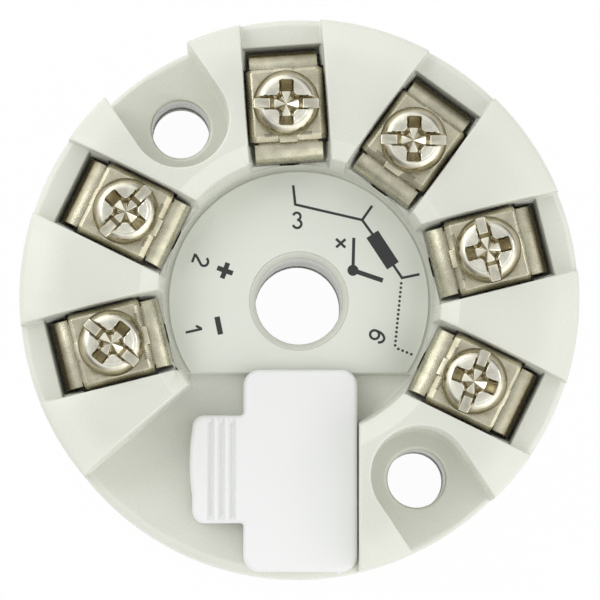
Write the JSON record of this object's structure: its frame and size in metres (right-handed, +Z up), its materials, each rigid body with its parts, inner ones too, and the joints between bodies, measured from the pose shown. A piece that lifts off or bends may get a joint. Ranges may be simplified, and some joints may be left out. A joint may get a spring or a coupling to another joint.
{
  "type": "head-mounted temperature transmitter",
  "caption": "Round light grey sensor-head transmitter: ribbed crown with screw clamp terminals round a sunken wiring label, centre hole and a white sliding port cover.",
  "frame": {"origin": "on the axis of the centre hole, in the plane of the bottom face", "axes": "+Z up along the centre hole towards the terminals, +X to the right of the label, +Y away from the sliding cover"},
  "size_m": [0.043, 0.043, 0.0184],
  "materials": {
    "housing_plastic": "fine satin moulded light grey",
    "base_plastic": "satin moulded light grey",
    "label_film": "matt printed film, pale grey-green",
    "cover_plastic": "satin moulded white",
    "terminal_nickel": "nickel-plated, semi-bright",
    "clamp_nickel": "nickel-plated, semi-bright",
    "screw_nickel": "nickel-plated, bright",
    "board_laminate": "green solder mask",
    "socket_plastic": "moulded black",
    "contact_gold": "gold-plated",
    "chip_plastic": "moulded black",
    "ferrite_core": "sintered ferrite",
    "ceramic_parts": "fired ceramic, tan"
  },
  "bodies": {
    "base": {"housing": "housing_plastic", "base_plate": "base_plastic", "connection_label": "label_film", "circuit_board": "board_laminate", "port_socket": "socket_plastic", "port_contacts": "contact_gold", "processor": "chip_plastic", "converter": "chip_plastic", "transformer": "ferrite_core", "regulator": "chip_plastic", "capacitors": "ceramic_parts", "resistors": "chip_plastic", "terminal_1": "terminal_nickel", "terminal_2": "terminal_nickel", "terminal_3": "terminal_nickel", "terminal_4": "terminal_nickel", "terminal_5": "terminal_nickel", "terminal_6": "terminal_nickel"},
    "cover": {"slide_cover": "cover_plastic"},
    "clamp_1": {"clamp_plate_1": "clamp_nickel"},
    "screw_body_1": {"screw_1": "screw_nickel"},
    "clamp_2": {"clamp_plate_2": "clamp_nickel"},
    "screw_body_2": {"screw_2": "screw_nickel"},
    "clamp_3": {"clamp_plate_3": "clamp_nickel"},
    "screw_body_3": {"screw_3": "screw_nickel"},
    "clamp_4": {"clamp_plate_4": "clamp_nickel"},
    "screw_body_4": {"screw_4": "screw_nickel"},
    "clamp_5": {"clamp_plate_5": "clamp_nickel"},
    "screw_body_5": {"screw_5": "screw_nickel"},
    "clamp_6": {"clamp_plate_6": "clamp_nickel"},
    "screw_body_6": {"screw_6": "screw_nickel"}
  },
  "joints": [
    {"name": "cover_slide", "type": "slide", "parent": "base", "child": "cover", "axis": [-1, 0, 0], "range_m": [0, 0.0028]},
    {"name": "clamp_1_lift", "type": "slide", "parent": "base", "child": "clamp_1", "axis": [0, 0, 1], "range_m": [0, 0.0015]},
    {"name": "screw_1_turn", "type": "hinge", "parent": "clamp_1", "child": "screw_body_1", "pos_m": [-0.01441, -0.00359, 0.017], "axis": [0, 0, 1], "range_deg": [0, 1080]},
    {"name": "clamp_2_lift", "type": "slide", "parent": "base", "child": "clamp_2", "axis": [0, 0, 1], "range_m": [0, 0.0015]},
    {"name": "screw_2_turn", "type": "hinge", "parent": "clamp_2", "child": "screw_body_2", "pos_m": [-0.01335, 0.00651, 0.017], "axis": [0, 0, 1], "range_deg": [0, 1080]},
    {"name": "clamp_3_lift", "type": "slide", "parent": "base", "child": "clamp_3", "axis": [0, 0, 1], "range_m": [0, 0.0015]},
    {"name": "screw_3_turn", "type": "hinge", "parent": "clamp_3", "child": "screw_body_3", "pos_m": [-0.00104, 0.01481, 0.017], "axis": [0, 0, 1], "range_deg": [0, 1080]},
    {"name": "clamp_4_lift", "type": "slide", "parent": "base", "child": "clamp_4", "axis": [0, 0, 1], "range_m": [0, 0.0015]},
    {"name": "screw_4_turn", "type": "hinge", "parent": "clamp_4", "child": "screw_body_4", "pos_m": [0.00873, 0.01201, 0.017], "axis": [0, 0, 1], "range_deg": [0, 1080]},
    {"name": "clamp_5_lift", "type": "slide", "parent": "base", "child": "clamp_5", "axis": [0, 0, 1], "range_m": [0, 0.0015]},
    {"name": "screw_5_turn", "type": "hinge", "parent": "clamp_5", "child": "screw_body_5", "pos_m": [0.01441, 0.00359, 0.017], "axis": [0, 0, 1], "range_deg": [0, 1080]},
    {"name": "clamp_6_lift", "type": "slide", "parent": "base", "child": "clamp_6", "axis": [0, 0, 1], "range_m": [0, 0.0015]},
    {"name": "screw_6_turn", "type": "hinge", "parent": "clamp_6", "child": "screw_body_6", "pos_m": [0.01335, -0.00651, 0.017], "axis": [0, 0, 1], "range_deg": [0, 1080]}
  ],
  "couplings": [
    {"joint": "screw_1_turn", "follows": "clamp_1_lift", "rad_per_m": 12566},
    {"joint": "screw_2_turn", "follows": "clamp_2_lift", "rad_per_m": 12566},
    {"joint": "screw_3_turn", "follows": "clamp_3_lift", "rad_per_m": 12566},
    {"joint": "screw_4_turn", "follows": "clamp_4_lift", "rad_per_m": 12566},
    {"joint": "screw_5_turn", "follows": "clamp_5_lift", "rad_per_m": 12566},
    {"joint": "screw_6_turn", "follows": "clamp_6_lift", "rad_per_m": 12566}
  ]
}
